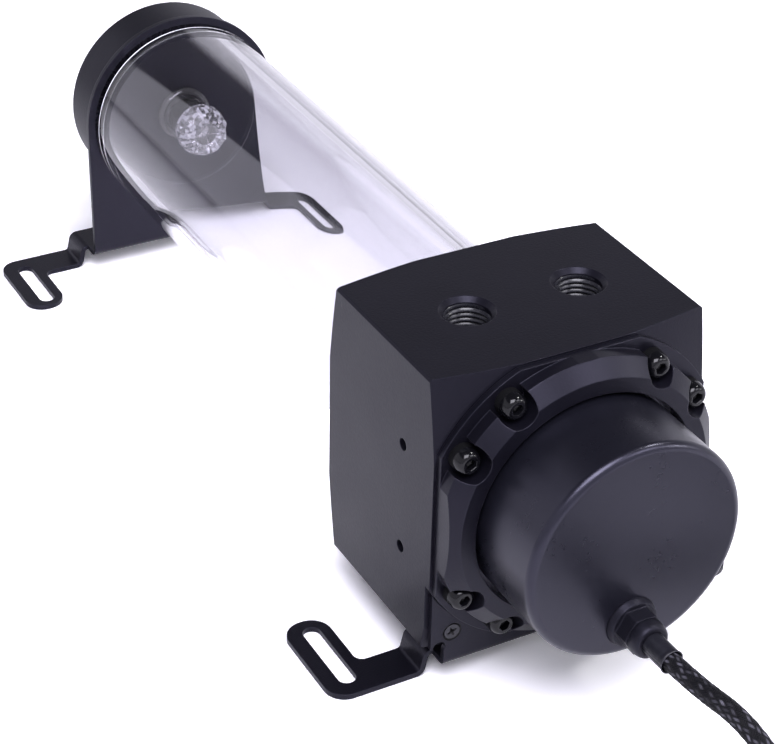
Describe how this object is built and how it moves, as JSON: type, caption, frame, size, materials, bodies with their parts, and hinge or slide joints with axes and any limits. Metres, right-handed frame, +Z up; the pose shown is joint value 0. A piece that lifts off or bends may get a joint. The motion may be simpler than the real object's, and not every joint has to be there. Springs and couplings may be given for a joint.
{
  "type": "coolant pump reservoir",
  "caption": "Coolant pump with square black top block, clear tube reservoir lying behind it, round end cap, slotted bracket feet, top ports and a braided cable.",
  "frame": {"origin": "middle of the footprint on the surface that the feet stand on, half way between the cable gland's front and the end cap's rear face, the free cable left out", "axes": "+Z up, +Y along the tube from the pump to the end cap, +X to the right when the pump's face is looked at"},
  "size_m": [0.1463, 0.4138, 0.0901],
  "materials": {
    "acetal": "satin machined",
    "housing_plastic": "satin moulded",
    "clear_acrylic": "polished clear",
    "sheet_steel": "satin black powder coat",
    "black_screw": "black zinc",
    "stainless": "drawn",
    "ceramic_ball": "polished",
    "motor_core": "varnished windings",
    "board": "solder mask",
    "impeller_plastic": "moulded",
    "seal_rubber": "smooth",
    "gland_plastic": "moulded",
    "shrink_tube": "satin",
    "braid": "braided yarn",
    "connector_plastic": "moulded"
  },
  "bodies": {
    "reservoir": {"pump_top_block": "acetal", "clamp_ring": "acetal", "clamp_ring_screws": "black_screw", "front_bracket_screws": "black_screw", "pump_housing": "housing_plastic", "rotor_separator": "stainless", "bearing_ball": "ceramic_ball", "motor_stator": "motor_core", "control_board": "board", "pump_seal_ring": "seal_rubber", "front_bracket": "sheet_steel", "rear_bracket": "sheet_steel", "reservoir_tube": "clear_acrylic", "tube_front_seal": "seal_rubber", "end_cap": "acetal", "end_cap_seal": "seal_rubber", "light_guide": "clear_acrylic", "light_guide_seal": "seal_rubber", "cable_gland_body": "gland_plastic", "gland_nut": "gland_plastic", "heat_shrink_sleeve": "shrink_tube", "pump_cable": "braid", "cable_coil": "braid", "cable_tie": "gland_plastic", "power_connector": "connector_plastic"},
    "rotor": {"impeller_rotor": "impeller_plastic"}
  },
  "joints": [
    {"name": "impeller_spin", "type": "hinge", "parent": "reservoir", "child": "rotor", "pos_m": [0, -0.10485, 0.051], "axis": [0, 1, 0], "continuous": true}
  ]
}
